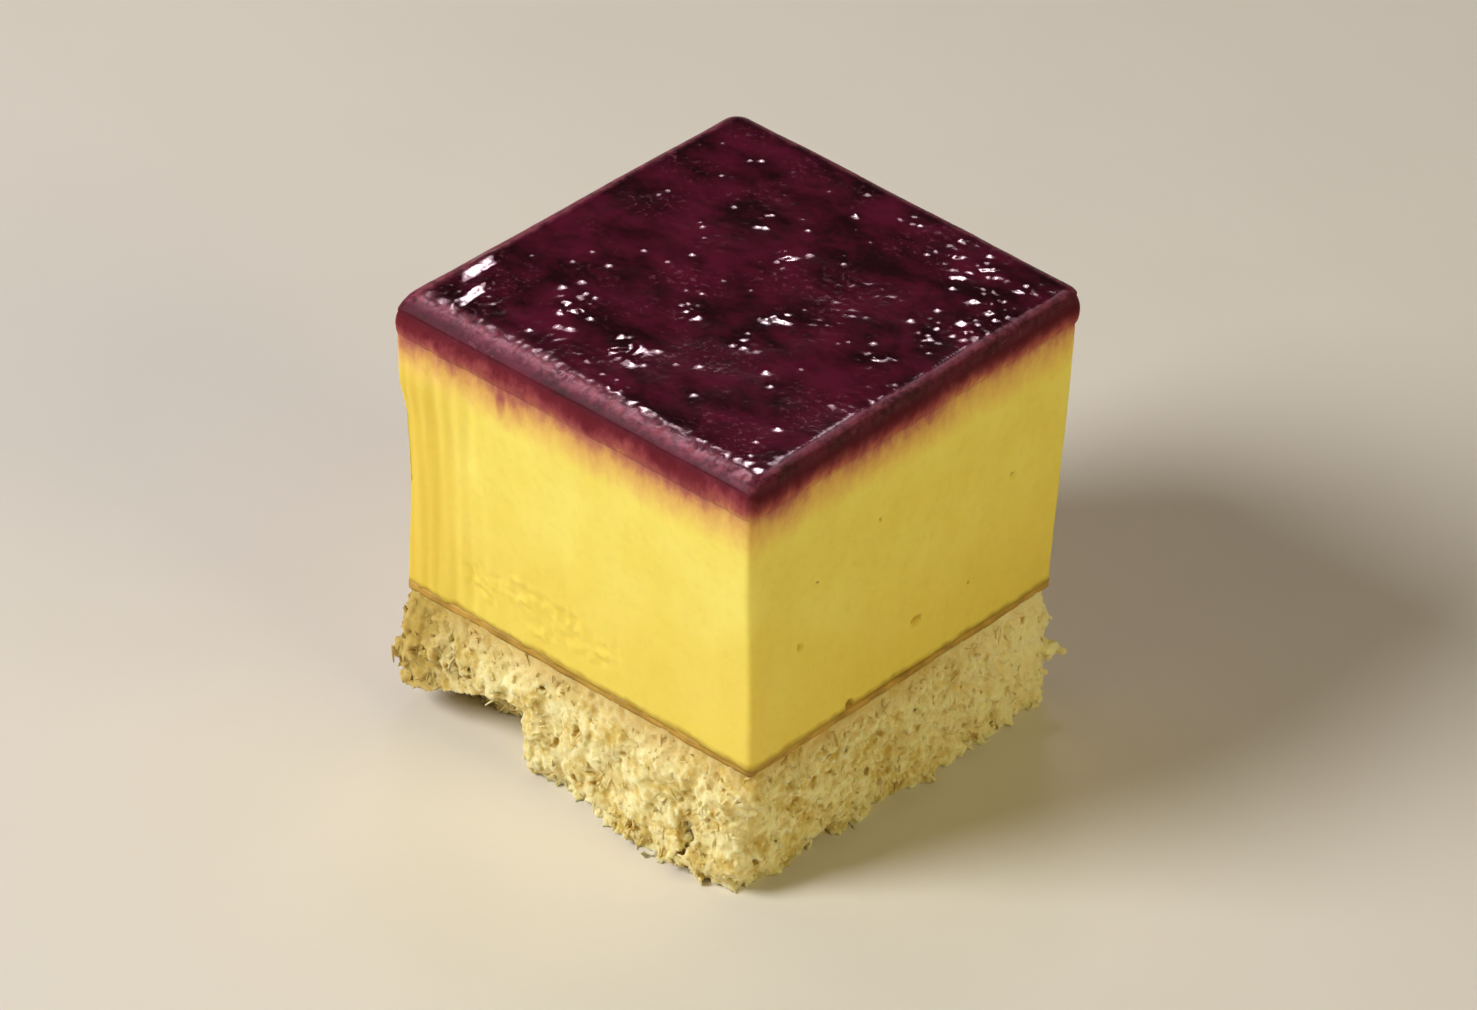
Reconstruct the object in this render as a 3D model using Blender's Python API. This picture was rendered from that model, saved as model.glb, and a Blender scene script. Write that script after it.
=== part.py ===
"""Sweet potato cake: one small cube of layered cake, cut from a slab.

A torn sponge base carries a thick sweet potato mousse, and a thin purple jelly is set on top of it.
Each layer is its own solid. The cake stands on its sponge, with the origin at the middle of its foot
and +Z up. The brighter cut wall in the photograph faces -Y, and the darker one faces +X.
"""

import math
import random

import bmesh
import bpy
from mathutils import Vector, noise

MM = 0.001

# Driving dimensions
CAKE_WIDTH = 35.9 * MM  # along X, at the jelly
CAKE_DEPTH = 37.2 * MM  # along Y, at the jelly
SPONGE_HEIGHT = 11.4 * MM
MOUSSE_HEIGHT = 23.8 * MM
JELLY_HEIGHT = 3.2 * MM
LAYER_GAP = 0.3 * MM  # clearance that each layer leaves under the next one

# How far each cut wall runs in from the jelly down to the foot of the mousse
LEAN_LEFT = 0.4 * MM  # the wall towards -X
LEAN_FRONT = 0.8 * MM  # the wall towards -Y
LEAN_BACK = 1.4 * MM  # the wall towards +Y

# The slab wasn't cut quite square: the corner towards -X and -Y, the left one, stands out
LEFT_CORNER_OUT_X = 0.45 * MM
LEFT_CORNER_OUT_Y = 0.65 * MM

# Mousse
MOUSSE_CORNER = 0.5 * MM  # radius of the upright corners
MOUSSE_WAVE = 0.12 * MM  # how far the cut walls swell and sink
MOUSSE_WAVE_LENGTH = 8.0 * MM
DENT_DEPTH = 0.55 * MM  # the left corner is dented below its top
DENT_TOP = 4.0 * MM  # below the jelly
DENT_EASE = 4.0 * MM  # height over which the dent sets in
DENT_FADE = 12.0 * MM  # height above the foot at which it starts to run out again
DENT_REACH = 9.0 * MM  # along the walls from the corner

# Jelly
JELLY_CORNER = 0.6 * MM
JELLY_EDGE = 0.5 * MM  # radius of the rounded upper edge
JELLY_SLUMP = 0.25 * MM  # how far the foot of the jelly spreads
RIPPLE_HEIGHT = 0.22 * MM
RIPPLE_LENGTH = 7.0 * MM
DIMPLE_HEIGHT = 0.16 * MM
DIMPLE_LENGTH = 2.6 * MM

# Sponge
SPONGE_CORNER = 1.4 * MM
SPONGE_SWELL = 0.7 * MM  # the soft crumb spreads past the foot of the mousse
SPONGE_FRONT_STEP = 0.7 * MM  # it spreads further by this on the front wall
SPONGE_PROUD = 2.0 * MM  # the most that any crumb stands out of its wall
CRAG_DEPTH = 0.5 * MM
CRAG_LENGTH = 3.2 * MM
CRUMB_DEPTH = 0.6 * MM
CRUMB_LENGTH = 1.5 * MM
CRUMB_SHIFT = 0.2 * MM  # the cells of the crumb also shift up, down and along
FOOT_INSET = 0.8 * MM  # the torn foot is set back by up to this
FOOT_HEIGHT = 2.0 * MM
FOOT_PATCH = 4.5 * MM  # length of a stretch that is set back more or less
TEAR_DEPTH = 5.2 * MM  # a bite torn out under the left end of the front wall
TEAR_LEFT_HEIGHT = 2.2 * MM
TEAR_RIGHT_HEIGHT = 6.0 * MM
TEAR_END = -5.2 * MM  # along X, where the bite stops short
TEAR_END_RUN = 1.8 * MM
STANDING_CRUMBS = (  # place on the wall, in mm, of each crumb that stands out clearly in the photograph
    (-18.2, -18.6, 5.0),
    (18.2, 16.9, 5.0),
    (18.0, 6.8, 1.2),
    (18.0, 10.8, 1.6),
    (4.7, -18.5, 0.8),
    (10.6, -18.5, 0.9),
    (-7.6, -18.5, 6.2),
)
STANDING_SIZE = 1.5 * MM
STANDING_STAND = 1.1 * MM
TUFTS = 56
TUFT_SIZE = (0.9 * MM, 1.5 * MM)  # reach of a crumb that stands out of the wall
TUFT_STAND = (0.3 * MM, 0.7 * MM)
SEED = 11

# Cells along X, along Y and up
MOUSSE_CELLS = (18, 18, 12)
JELLY_CELLS = (34, 34, 4)
SPONGE_CELLS = (46, 46, 15)

MOUSSE_BASE = SPONGE_HEIGHT
JELLY_BASE = SPONGE_HEIGHT + MOUSSE_HEIGHT


def clear_scene():
    for thing in list(bpy.data.objects):
        bpy.data.objects.remove(thing)


def ease(t):
    """A smooth step from 0 to 1."""
    t = min(1.0, max(0.0, t))
    return t * t * (3.0 - 2.0 * t)


def mix(low, high, t):
    return low + (high - low) * t


def food_material(name, colour, roughness):
    material = bpy.data.materials.new(name)
    material.use_nodes = True
    shader = material.node_tree.nodes["Principled BSDF"]
    shader.inputs["Base Color"].default_value = (*colour, 1.0)
    shader.inputs["Roughness"].default_value = roughness
    shader.inputs["Metallic"].default_value = 0.0
    return material


def gridded_block(cells, plain_sides):
    """A block from -1 to 1 on each axis, with its walls split into cells.

    The top (side 1) or the underside (side -1) stays one flat face if it is in plain_sides.
    """
    block = bmesh.new()
    bmesh.ops.create_cube(block, size=2.0)
    for axis, count in enumerate(cells):
        whole = [e for e in block.edges if abs(e.verts[0].co[axis] - e.verts[1].co[axis]) > 1.9]
        bmesh.ops.subdivide_edges(block, edges=whole, cuts=count - 1, use_grid_fill=True)
    for side in plain_sides:
        cap = [f for f in block.faces if all(v.co.z * side > 1.0 - 1e-6 for v in f.verts)]
        bmesh.ops.dissolve_faces(block, faces=cap)
    return block


def cell_line(t, cells, half, edge):
    """Where the cell line at t, from -1 to 1, lies. The outermost cell is as wide as the rounded edge."""
    if abs(t) > 1.0 - 1e-6:
        return t * half
    return t * (half - edge) / (1.0 - 2.0 / cells)


def plan_at(height):
    """Centre and half size of the cake's plan at a height, as the knife left it."""
    run = ease((JELLY_BASE - height) / MOUSSE_HEIGHT)
    low = Vector((-CAKE_WIDTH / 2 + LEAN_LEFT * run, -CAKE_DEPTH / 2 + LEAN_FRONT * run))
    high = Vector((CAKE_WIDTH / 2, CAKE_DEPTH / 2 - LEAN_BACK * run))
    return (low + high) / 2, (high - low) / 2


def skewed(point):
    """The point, carried out with the left corner."""
    share = (0.5 - point.x / CAKE_WIDTH) * (0.5 - point.y / CAKE_DEPTH)
    return point - Vector((LEFT_CORNER_OUT_X, LEFT_CORNER_OUT_Y)) * share


def on_plan(co, cells, height, corner, edge):
    """Point of the cake's plan for a vertex of the block, and which way its wall faces there."""
    centre, half = plan_at(height)
    flat = Vector((cell_line(co.x, cells[0], half.x, edge), cell_line(co.y, cells[1], half.y, edge)))
    core = Vector((
        min(max(flat.x, corner - half.x), half.x - corner),
        min(max(flat.y, corner - half.y), half.y - corner),
    ))
    out = flat - core
    if out.length < 1e-9:
        return skewed(centre + flat), Vector((0.0, 0.0))
    reach = max(abs(out.x), abs(out.y))
    out.normalize()
    return skewed(centre + core + out * reach), out


def on_wall(co):
    return max(abs(co.x), abs(co.y)) > 1.0 - 1e-6


def crumb_noise(place, length):
    """Round lumps with narrow clefts between them, from about -1 to 1."""
    return 1.0 - 2.4 * noise.voronoi(place / length)[0][0]


def place_mousse(co):
    height = mix(MOUSSE_BASE, JELLY_BASE - LAYER_GAP, (co.z + 1.0) / 2.0)
    point, out = on_plan(co, MOUSSE_CELLS, height, MOUSSE_CORNER, MOUSSE_CORNER)
    if on_wall(co):
        where = Vector((point.x, point.y, height)) / MOUSSE_WAVE_LENGTH
        point += out * MOUSSE_WAVE * noise.noise(where)
        centre, half = plan_at(height)
        from_corner = (point - skewed(centre - half)).length
        dent = max(0.0, 1.0 - from_corner / DENT_REACH) ** 2
        dent *= ease((JELLY_BASE - DENT_TOP - height) / DENT_EASE) * ease((height - MOUSSE_BASE) / DENT_FADE)
        point -= out * DENT_DEPTH * dent
    return Vector((point.x, point.y, height))


def place_jelly(co):
    rise = (co.z + 1.0) / 2.0
    height = JELLY_BASE + mix(0.0, JELLY_HEIGHT - JELLY_EDGE, rise * JELLY_CELLS[2] / (JELLY_CELLS[2] - 1))
    point, out = on_plan(co, JELLY_CELLS, JELLY_BASE, JELLY_CORNER, JELLY_EDGE)
    top = rise > 1.0 - 1e-6
    if top:
        height = JELLY_BASE + JELLY_HEIGHT
        inward = min(1.0, 1.0 - abs(co.x), 1.0 - abs(co.y)) * JELLY_CELLS[0] / 4.0
        place = Vector((point.x, point.y, 0.0))
        height += RIPPLE_HEIGHT * noise.noise(place / RIPPLE_LENGTH) * ease(inward)
        height += DIMPLE_HEIGHT * noise.noise(place / DIMPLE_LENGTH) * ease(inward)
    if on_wall(co):
        point += out * JELLY_SLUMP * (1.0 - ease(rise))
        if top:  # the rounded upper edge
            cut = JELLY_EDGE * (1.0 - math.sqrt(0.5))
            point -= out * cut
            height -= cut
    return Vector((point.x, point.y, height))


def sponge_tufts():
    """Crumbs that stand out of the sponge's walls: place, reach and how far they stand."""
    dice = random.Random(SEED)
    tufts = [(Vector(place) * MM, STANDING_SIZE, STANDING_STAND) for place in STANDING_CRUMBS]
    for _ in range(TUFTS):
        along = dice.uniform(-1.0, 1.0) * CAKE_WIDTH / 2
        height = SPONGE_HEIGHT * dice.random() ** 1.6
        across = CAKE_DEPTH / 2 * dice.choice((-1.0, 1.0))
        place = dice.choice((Vector((along, across, height)), Vector((across, along, height))))
        tufts.append((place, dice.uniform(*TUFT_SIZE), dice.uniform(*TUFT_STAND)))
    return tufts


def tear_height(x):
    """How high the bite in the front wall reaches at x."""
    across = ease((x + CAKE_WIDTH / 2) / (TEAR_END + CAKE_WIDTH / 2))
    stop = 1.0 - ease((x - TEAR_END) / TEAR_END_RUN)
    return mix(TEAR_LEFT_HEIGHT, TEAR_RIGHT_HEIGHT, across) * stop


def place_sponge(co, tufts):
    rise = (co.z + 1.0) / 2.0
    height = (SPONGE_HEIGHT - LAYER_GAP) * rise
    point, out = on_plan(co, SPONGE_CELLS, 0.0, SPONGE_CORNER, CAKE_WIDTH / SPONGE_CELLS[0])
    place = Vector((point.x, point.y, height))
    free = ease(4.0 * (1.0 - rise))  # the crumb is held flat under the mousse
    proud = (SPONGE_SWELL + SPONGE_FRONT_STEP * max(0.0, -out.y)) * ease(3.0 * (1.0 - rise))
    proud += CRAG_DEPTH * noise.noise(place / CRAG_LENGTH) * free
    proud += CRUMB_DEPTH * crumb_noise(place, CRUMB_LENGTH) * mix(0.35, 1.0, free)
    patch = 0.5 + noise.noise(place / FOOT_PATCH + Vector((7.0, 3.0, 0.0)))
    proud -= FOOT_INSET * patch * ease(1.0 - height / FOOT_HEIGHT)
    for spot, reach, stand in tufts:
        near = 1.0 - (place - spot).length_squared / reach**2
        proud += stand * max(0.0, near)
    place += Vector((out.x, out.y, 0.0)) * min(proud, SPONGE_PROUD)
    if 0.01 < rise < 0.99:
        shift = noise.noise_vector(place / CRUMB_LENGTH)
        place += CRUMB_SHIFT * (shift - shift.project(Vector((out.x, out.y, 0.0))))
    bite = tear_height(place.x)
    if height < bite:
        behind = max(0.0, 1.0 - (place.y + CAKE_DEPTH / 2) / (3.0 * TEAR_DEPTH))
        place.y += TEAR_DEPTH * math.sqrt(1.0 - height / bite) * ease(bite / TEAR_LEFT_HEIGHT) * behind
    return place


def make_layer(name, block, place, material, smooth):
    for vert in block.verts:
        vert.co = place(vert.co.copy())
    bmesh.ops.recalc_face_normals(block, faces=block.faces)
    mesh = bpy.data.meshes.new(name)
    block.to_mesh(mesh)
    block.free()
    mesh.materials.append(material)
    if smooth:
        mesh.shade_smooth()
        mesh.set_sharp_from_angle(angle=math.radians(50.0))
    layer = bpy.data.objects.new(name, mesh)
    bpy.context.scene.collection.objects.link(layer)
    return layer


def stand_on_origin(layers):
    """Moves the layers together, so that the origin is under the middle of the whole cake."""
    points = [vert.co for layer in layers for vert in layer.data.vertices]
    middle_x = (min(p.x for p in points) + max(p.x for p in points)) / 2
    middle_y = (min(p.y for p in points) + max(p.y for p in points)) / 2
    for layer in layers:
        for vert in layer.data.vertices:
            vert.co -= Vector((middle_x, middle_y, 0.0))
    print("middle of the cake before the move, in mm:", middle_x / MM, middle_y / MM)


def main():
    clear_scene()
    tufts = sponge_tufts()
    sponge = make_layer(
        "sponge_base",
        gridded_block(SPONGE_CELLS, (1, -1)),
        lambda co: place_sponge(co, tufts),
        food_material("sponge_crumb", (0.73, 0.60, 0.29), 0.95),
        smooth=False,
    )
    mousse = make_layer(
        "sweet_potato_mousse",
        gridded_block(MOUSSE_CELLS, (1, -1)),
        place_mousse,
        food_material("mousse_yellow", (0.90, 0.68, 0.12), 0.5),
        smooth=True,
    )
    jelly = make_layer(
        "purple_jelly_top",
        gridded_block(JELLY_CELLS, (-1,)),
        place_jelly,
        food_material("jelly_wine", (0.06, 0.006, 0.014), 0.12),
        smooth=True,
    )
    stand_on_origin([sponge, mousse, jelly])


main()
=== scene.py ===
# Sweet potato cake: one small cube of sponge, sweet potato mousse and purple jelly.
# The three solids give the sizes. Each layer is made again here with its real surface.
import math

import bmesh
import bpy
import numpy as np
from mathutils import Matrix, Vector, noise


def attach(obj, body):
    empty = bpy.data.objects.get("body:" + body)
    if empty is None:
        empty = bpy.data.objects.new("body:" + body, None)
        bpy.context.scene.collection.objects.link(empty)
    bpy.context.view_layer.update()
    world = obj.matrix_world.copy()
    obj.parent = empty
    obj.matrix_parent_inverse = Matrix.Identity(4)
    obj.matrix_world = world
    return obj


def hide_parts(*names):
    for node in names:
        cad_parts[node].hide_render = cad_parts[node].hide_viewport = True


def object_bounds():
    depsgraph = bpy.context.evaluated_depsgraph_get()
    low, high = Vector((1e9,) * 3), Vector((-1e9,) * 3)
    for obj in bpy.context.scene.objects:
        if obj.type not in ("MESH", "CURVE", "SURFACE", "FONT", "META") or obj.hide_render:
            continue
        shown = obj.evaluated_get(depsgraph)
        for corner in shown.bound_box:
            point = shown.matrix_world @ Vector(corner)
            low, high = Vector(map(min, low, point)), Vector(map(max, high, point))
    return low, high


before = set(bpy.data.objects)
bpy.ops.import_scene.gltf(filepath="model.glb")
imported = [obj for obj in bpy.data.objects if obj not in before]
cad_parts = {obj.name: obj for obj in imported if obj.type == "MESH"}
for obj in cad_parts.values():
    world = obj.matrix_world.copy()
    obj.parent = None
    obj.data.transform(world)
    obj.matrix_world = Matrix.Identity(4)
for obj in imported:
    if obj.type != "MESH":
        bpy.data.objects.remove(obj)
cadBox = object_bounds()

mm = 0.001

for name in ("Cube", "Light", "Camera"):  # Blender's own starting objects, if they are there
    if name in bpy.data.objects:
        bpy.data.objects.remove(bpy.data.objects[name])


def linearColour(code):
    # sRGB hex to the linear colour that Blender's sockets take
    parts = [int(code[i:i + 2], 16) / 255 for i in (1, 3, 5)]
    return tuple(c / 12.92 if c <= 0.04045 else ((c + 0.055) / 1.055) ** 2.4 for c in parts) + (1.0,)


def feed(tree, node, links):
    # each input takes a node (its first live output), a socket, a colour's hex code or a plain value
    for key, value in links.items():
        if isinstance(value, bpy.types.Node):
            value = next(s for s in value.outputs if s.enabled)
        if isinstance(value, bpy.types.NodeSocket):
            tree.links.new(value, node.inputs[key])
        else:
            node.inputs[key].default_value = linearColour(value) if isinstance(value, str) else value


def add(tree, kind, links=None, **settings):
    # one node with its settings and what feeds it
    made = tree.nodes.new(kind)
    for name, value in settings.items():
        setattr(made, name, value)
    feed(tree, made, links or {})
    return made


# short names for the kinds of node used most, and for a soft start and end of a range
calc = "ShaderNodeMath"
vectorCalc = "ShaderNodeVectorMath"
span = "ShaderNodeMapRange"
cloudy = "ShaderNodeTexNoise"
mixed = "ShaderNodeMix"
split = "ShaderNodeSeparateXYZ"
soft = {"interpolation_type": "SMOOTHSTEP"}


def ease(t):
    t = np.clip(t, 0.0, 1.0)
    return t * t * (3.0 - 2.0 * t)


def grain(points, size, seed=0):
    # smooth noise from -1 to 1 at each point, one lump per `size` millimetres
    shift = Vector((seed * 7.3, seed * 3.1, seed * 5.7))
    return np.array([noise.noise(Vector(p) / size + shift) for p in points])


# The cake's plan at the jelly, in mm, and how its cut walls run in towards the foot of the mousse
cake = {
    "left": -18.35, "right": 17.55, "front": -17.90, "back": 19.30,
    "leanLeft": 0.4, "leanFront": 0.8, "leanBack": 1.4,
    "leftCornerOutX": 0.45, "leftCornerOutY": 0.65,
    "mousseFoot": 11.4, "jellyFoot": 35.2, "jellyTop": 38.4,
    "corner": 0.5,  # radius of the cut corners
}
cakeCentre = np.array([(cake["left"] + cake["right"]) / 2, (cake["front"] + cake["back"]) / 2])
cakeHalf = np.array([(cake["right"] - cake["left"]) / 2, (cake["back"] - cake["front"]) / 2])


def planAt(height):
    # centre and half size of the plan at each height
    run = ease((cake["jellyFoot"] - height) / (cake["jellyFoot"] - cake["mousseFoot"]))
    low = np.stack([cake["left"] + cake["leanLeft"] * run, cake["front"] + cake["leanFront"] * run], -1)
    high = np.stack([np.full_like(run, cake["right"]), cake["back"] - cake["leanBack"] * run], -1)
    return (low + high) / 2, (high - low) / 2


def skewed(points):
    # the corner towards -X and -Y stands out a little
    share = (0.5 - (points[..., 0] - cakeCentre[0]) / (2 * cakeHalf[0]))
    share = share * (0.5 - (points[..., 1] - cakeCentre[1]) / (2 * cakeHalf[1]))
    return points - share[..., None] * np.array([cake["leftCornerOutX"], cake["leftCornerOutY"]])


def planGrid(spacing):
    # a grid over the plan from -1 to 1 whose corners are rounded, with the way out of each point's corner
    counts = [int(round(2 * h / spacing)) for h in cakeHalf]
    u, v = np.meshgrid(*[np.linspace(-1, 1, n + 1) for n in counts], indexing="ij")
    flat = np.stack([u, v], -1) * cakeHalf
    core = np.clip(flat, cake["corner"] - cakeHalf, cakeHalf - cake["corner"])
    out = flat - core
    reach = np.abs(out).max(-1, keepdims=True)
    length = np.linalg.norm(out, axis=-1, keepdims=True)
    out = out / np.maximum(length, 1e-9)
    return (core + out * reach) / cakeHalf, out


def rim(grid):
    # the grid's outer points in order, anticlockwise from above
    return np.concatenate([grid[:-1, 0], grid[-1, :-1], grid[:0:-1, -1], grid[0, :0:-1]])


def ringFaces(rows, count, first=0):
    # quads between rings that follow each other from the top down
    faces = []
    for row in range(rows - 1):
        a, b = first + row * count, first + (row + 1) * count
        faces += [(a + i, b + i, b + (i + 1) % count, a + (i + 1) % count) for i in range(count)]
    return faces


def closedRings(rows, count):
    # a closed block: its wall, its upper face and its underside
    last = (rows - 1) * count
    return ringFaces(rows, count) + [tuple(range(count)), tuple(last + i for i in reversed(range(count)))]


def meshPiece(name, points, faces, material):
    mesh = bpy.data.meshes.new(name)
    mesh.from_pydata([tuple(p) for p in np.asarray(points) * mm], [], faces)
    mesh.validate()
    mesh.materials.append(material)
    mesh.shade_smooth()
    piece = bpy.data.objects.new(name, mesh)
    bpy.context.scene.collection.objects.link(piece)
    return piece


def keepInside(piece):
    # holds every point within the box of the three solids
    low, high = [np.array(corner) for corner in cadBox]
    place = np.empty(len(piece.data.vertices) * 3)
    piece.data.vertices.foreach_get("co", place)
    place = np.clip(place.reshape(-1, 3), low, high)
    piece.data.vertices.foreach_set("co", place.ravel())
    piece.data.update()


def newMaterial(name):
    # the material, its tree, its shader and the place on the piece that its patterns follow
    material = bpy.data.materials.new(name)
    material.use_nodes = True
    tree = material.node_tree
    place = add(tree, "ShaderNodeTexCoord").outputs["Object"]
    return material, tree, tree.nodes["Principled BSDF"], place


print("sponge")
sponge = {
    "left": -17.95, "right": 17.55, "front": -17.10, "back": 17.90, "top": 11.0,
    "corner": 1.5,
    "swell": 0.5, "swellOver": 3.5,  # how far the torn wall spreads below the skin, and over what depth
    "frontStep": 0.7, "frontFoot": 0.9,  # how far the front wall steps out, and its foot to the right again
    "warp": 0.9, "warpSize": 3.0,  # slow buckling of the torn wall
    "lump": 0.9, "lumpSize": 2.3,  # clumps of crumb
    "crumb": 0.45, "crumbSize": 0.9,  # single crumbs
    "fibre": 1.15, "fibreSize": 0.7,  # shreds between them
    "ragged": 2.2, "raggedSize": 0.9, "raggedHeight": 1.8,  # the torn foot
    "poreSize": 1.9, "pore": 0.25,  # spacing of the open pores, and the largest radius as a share of it
    "footInset": 1.1, "footHeight": 2.2,  # how far patches of the foot draw in
    # the bite under the front wall: its depth, its height at either end, where it ends and over what length
    "tearDepth": 5.0, "tearLow": 2.3, "tearHigh": 6.0, "tearEnd": -5.6, "tearRun": 1.6,
    "seed": 3.0,
}
# where the crumb is sampled, in mm
crumbGrid = {"spacing": 0.2, "low": (-21.0, -21.0, -0.6), "high": (21.0, 21.0, 11.8)}
crease = {"place": (12.5, -18.6, 5.8), "radius": 0.95, "narrow": 0.2}
tufts = (  # crumbs that stand out of the torn wall: place and size in mm
    (-18.6, -17.9, 5.0, 0.9), (17.8, 17.6, 5.0, 0.9), (17.7, 7.5, 1.0, 0.7), (17.7, 11.5, 1.5, 0.8),
    (4.3, -17.9, 0.8, 0.7), (10.2, -17.9, 0.8, 0.7), (-8.0, -17.9, 6.2, 0.9), (-3.5, -17.9, 1.2, 0.6),
)


def ended(tree, made, material):
    # what the tree has made, as real mesh in its material
    whole = add(tree, "GeometryNodeRealizeInstances", {0: made})
    painted = add(tree, "GeometryNodeSetMaterial", {0: whole, "Material": material})
    add(tree, "NodeGroupOutput", {0: painted})


def spongeTree(material):
    # A solid crumb from a field: the distance to the torn walls in mm, raised by clumps, eaten by pores
    tree = bpy.data.node_groups.new("tornSpongeCrumb", "GeometryNodeTree")
    tree.interface.new_socket("Geometry", in_out="OUTPUT", socket_type="NodeSocketGeometry")
    for name, value in sponge.items():
        socket = tree.interface.new_socket(name, in_out="INPUT", socket_type="NodeSocketFloat")
        socket.default_value = value
    given = tree.nodes.new("NodeGroupInput").outputs
    place = add(tree, vectorCalc, {0: add(tree, "GeometryNodeInputPosition"), 3: 1 / mm}, operation="SCALE")
    x, y, height = add(tree, split, {0: place}).outputs
    shift = add(tree, "ShaderNodeCombineXYZ", {axis: given["seed"] for axis in range(3)})
    seeded = add(tree, vectorCalc, {0: place, 1: shift}, operation="ADD")

    def perMm(size):
        return add(tree, calc, {0: 1.0, 1: size}, operation="DIVIDE")

    # slow warp of the place itself
    wander = add(tree, cloudy, {"Vector": seeded, "Scale": perMm(given["warpSize"]), "Detail": 1.0})
    wander = add(tree, vectorCalc, {0: wander.outputs["Color"], 1: (0.5, 0.5, 0.5)}, operation="SUBTRACT")
    wander = add(tree, vectorCalc, {0: wander, 3: given["warp"]}, operation="SCALE")
    warped = add(tree, vectorCalc, {0: seeded, 1: wander}, operation="ADD")
    push = add(tree, split, {0: wander})
    x = add(tree, calc, {0: x, 1: push.outputs["X"]}, operation="ADD")
    y = add(tree, calc, {0: y, 1: push.outputs["Y"]}, operation="ADD")

    # carry the left corner out, as the plan does
    shareX = add(tree, span, {0: x, 1: cake["left"], 2: cake["right"], 3: 1.0, 4: 0.0})
    shareY = add(tree, span, {0: y, 1: cake["front"], 2: cake["back"], 3: 1.0, 4: 0.0})
    share = add(tree, calc, {0: shareX, 1: shareY}, operation="MULTIPLY")
    x = add(tree, calc, {0: share, 1: cake["leftCornerOutX"], 2: x}, operation="MULTIPLY_ADD")
    y = add(tree, calc, {0: share, 1: cake["leftCornerOutY"], 2: y}, operation="MULTIPLY_ADD")

    # how far the crumb spreads at this height: out below the skin, in again at the foot, in patches
    depth = add(tree, calc, {0: given["top"], 1: height}, operation="SUBTRACT")
    spread = add(tree, span, {0: depth, 1: 0.0, 2: given["swellOver"]}, **soft)
    patch = add(tree, cloudy, {"Vector": seeded, "Scale": 0.22, "Detail": 0.0})
    patch = add(tree, span, {0: patch, 1: 0.35, 2: 0.65})
    foot = add(tree, span, {0: height, 1: 0.0, 2: given["footHeight"], 3: 1.0, 4: 0.0}, **soft)
    foot = add(tree, calc, {0: foot, 1: patch}, operation="MULTIPLY")
    foot = add(tree, calc, {0: foot, 1: given["footInset"]}, operation="MULTIPLY")
    proud = add(tree, calc, {0: spread, 1: given["swell"]}, operation="MULTIPLY")
    proud = add(tree, calc, {0: proud, 1: foot}, operation="SUBTRACT")

    # the bite torn out of the front wall: higher towards its right end, where it stops short
    climb = add(tree, span, {
        0: x, 1: cake["left"], 2: given["tearEnd"], 3: given["tearLow"], 4: given["tearHigh"],
    }, **soft)
    beyond = add(tree, calc, {0: x, 1: given["tearEnd"]}, operation="SUBTRACT")
    stop = add(tree, span, {0: beyond, 1: 0.0, 2: given["tearRun"], 3: 1.0, 4: 0.0}, **soft)
    climb = add(tree, calc, {0: climb, 1: stop}, operation="MULTIPLY")
    under = add(tree, calc, {0: climb, 1: height}, operation="SUBTRACT")
    atLeast = add(tree, calc, {0: climb, 1: 0.01}, operation="MAXIMUM")  # so that nothing is divided by zero
    under = add(tree, calc, {0: under, 1: atLeast}, operation="DIVIDE", use_clamp=True)
    bite = add(tree, calc, {0: under, 1: 0.4}, operation="POWER")
    bite = add(tree, calc, {0: bite, 1: given["tearDepth"]}, operation="MULTIPLY")

    # the front wall steps out below the skin, and again at the foot of its right half
    step = add(tree, calc, {0: spread, 1: given["frontStep"]}, operation="MULTIPLY")
    lowDown = add(tree, span, {0: height, 1: 0.5, 2: 6.0, 3: 1.0, 4: 0.0}, **soft)
    rightHalf = add(tree, span, {0: x, 1: 2.0, 2: 12.0}, **soft)
    footFront = add(tree, calc, {0: lowDown, 1: rightHalf}, operation="MULTIPLY")
    step = add(tree, calc, {0: footFront, 1: given["frontFoot"], 2: step}, operation="MULTIPLY_ADD")

    # the distance to the block with rounded corners
    right = add(tree, calc, {0: x, 1: given["right"]}, operation="SUBTRACT")
    left = add(tree, calc, {0: given["left"], 1: x}, operation="SUBTRACT")
    back = add(tree, calc, {0: y, 1: given["back"]}, operation="SUBTRACT")
    front = add(tree, calc, {0: given["front"], 1: y}, operation="SUBTRACT")
    front = add(tree, calc, {0: front, 1: step}, operation="SUBTRACT")
    front = add(tree, calc, {0: front, 1: bite}, operation="ADD")
    pastX = add(tree, calc, {0: left, 1: right}, operation="MAXIMUM")
    pastY = add(tree, calc, {0: front, 1: back}, operation="MAXIMUM")
    pastX = add(tree, calc, {0: pastX, 1: given["corner"]}, operation="ADD")
    pastY = add(tree, calc, {0: pastY, 1: given["corner"]}, operation="ADD")
    outX = add(tree, calc, {0: pastX, 1: 0.0}, operation="MAXIMUM")
    outY = add(tree, calc, {0: pastY, 1: 0.0}, operation="MAXIMUM")
    out = add(tree, "ShaderNodeCombineXYZ", {0: outX, 1: outY})
    far = add(tree, vectorCalc, {0: out}, operation="LENGTH")
    inside = add(tree, calc, {0: pastX, 1: pastY}, operation="MAXIMUM")
    inside = add(tree, calc, {0: inside, 1: 0.0}, operation="MINIMUM")
    wall = add(tree, calc, {0: far, 1: inside}, operation="ADD")
    wall = add(tree, calc, {0: wall, 1: given["corner"]}, operation="SUBTRACT")
    wall = add(tree, calc, {0: wall, 1: proud}, operation="SUBTRACT")

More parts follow.
